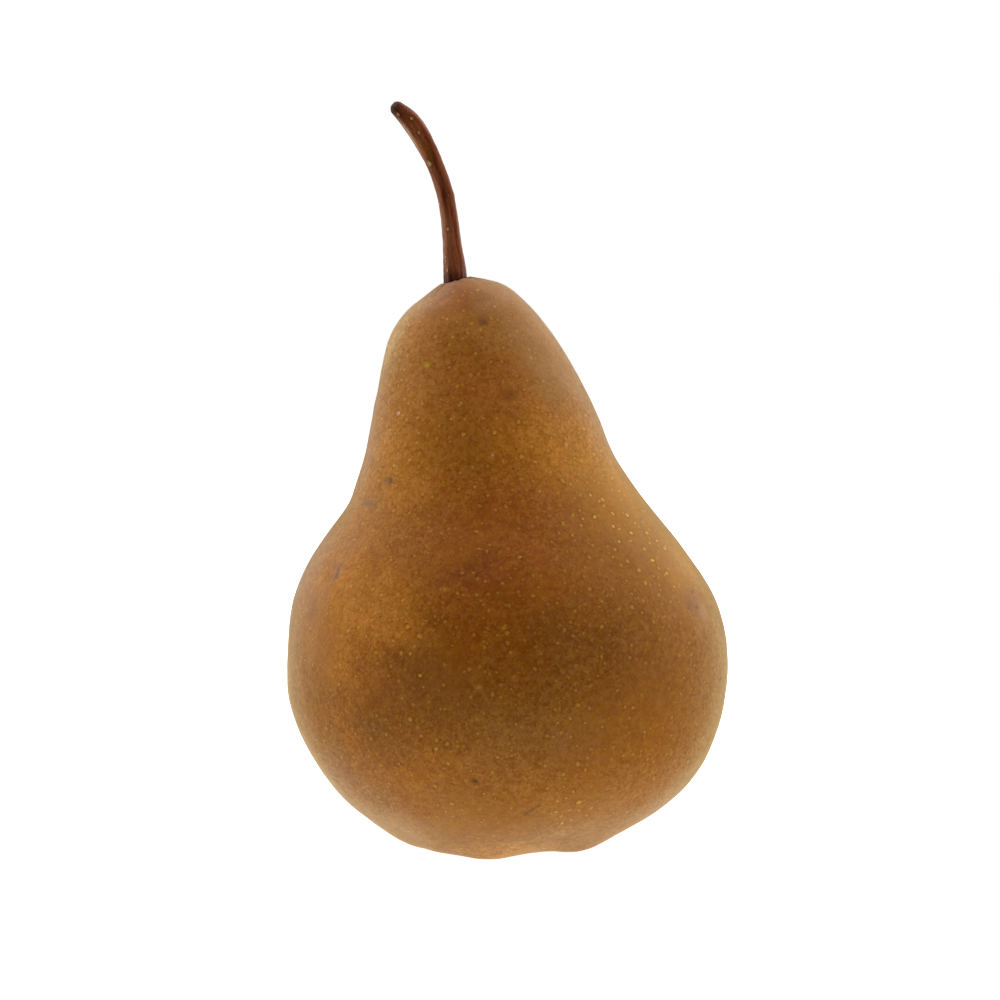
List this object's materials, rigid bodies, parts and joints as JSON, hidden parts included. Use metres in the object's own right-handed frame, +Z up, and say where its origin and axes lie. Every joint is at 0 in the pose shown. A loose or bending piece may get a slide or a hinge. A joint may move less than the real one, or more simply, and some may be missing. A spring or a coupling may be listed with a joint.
{
  "type": "pear",
  "caption": "Ripe pear with golden-brown russet skin, a narrow neck leaning to one side, a curved woody stem and a dried calyx under its base.",
  "frame": {"origin": "on the surface that the pear stands on, under the middle of its width and depth", "axes": "+Z up along the pear's height; the stem bends towards -X; the front of the pear faces -Y"},
  "size_m": [0.0738, 0.073, 0.1241],
  "materials": {
    "russet_skin": "golden-brown russet skin with fine speckle and pale lenticels, satin",
    "woody_stem": "reddish-brown bark with lengthwise ridges, satin",
    "dried_calyx": "dry and matte"
  },
  "bodies": {
    "root": {"fruit": "russet_skin", "stem": "woody_stem", "calyx": "dried_calyx"}
  },
  "joints": []
}
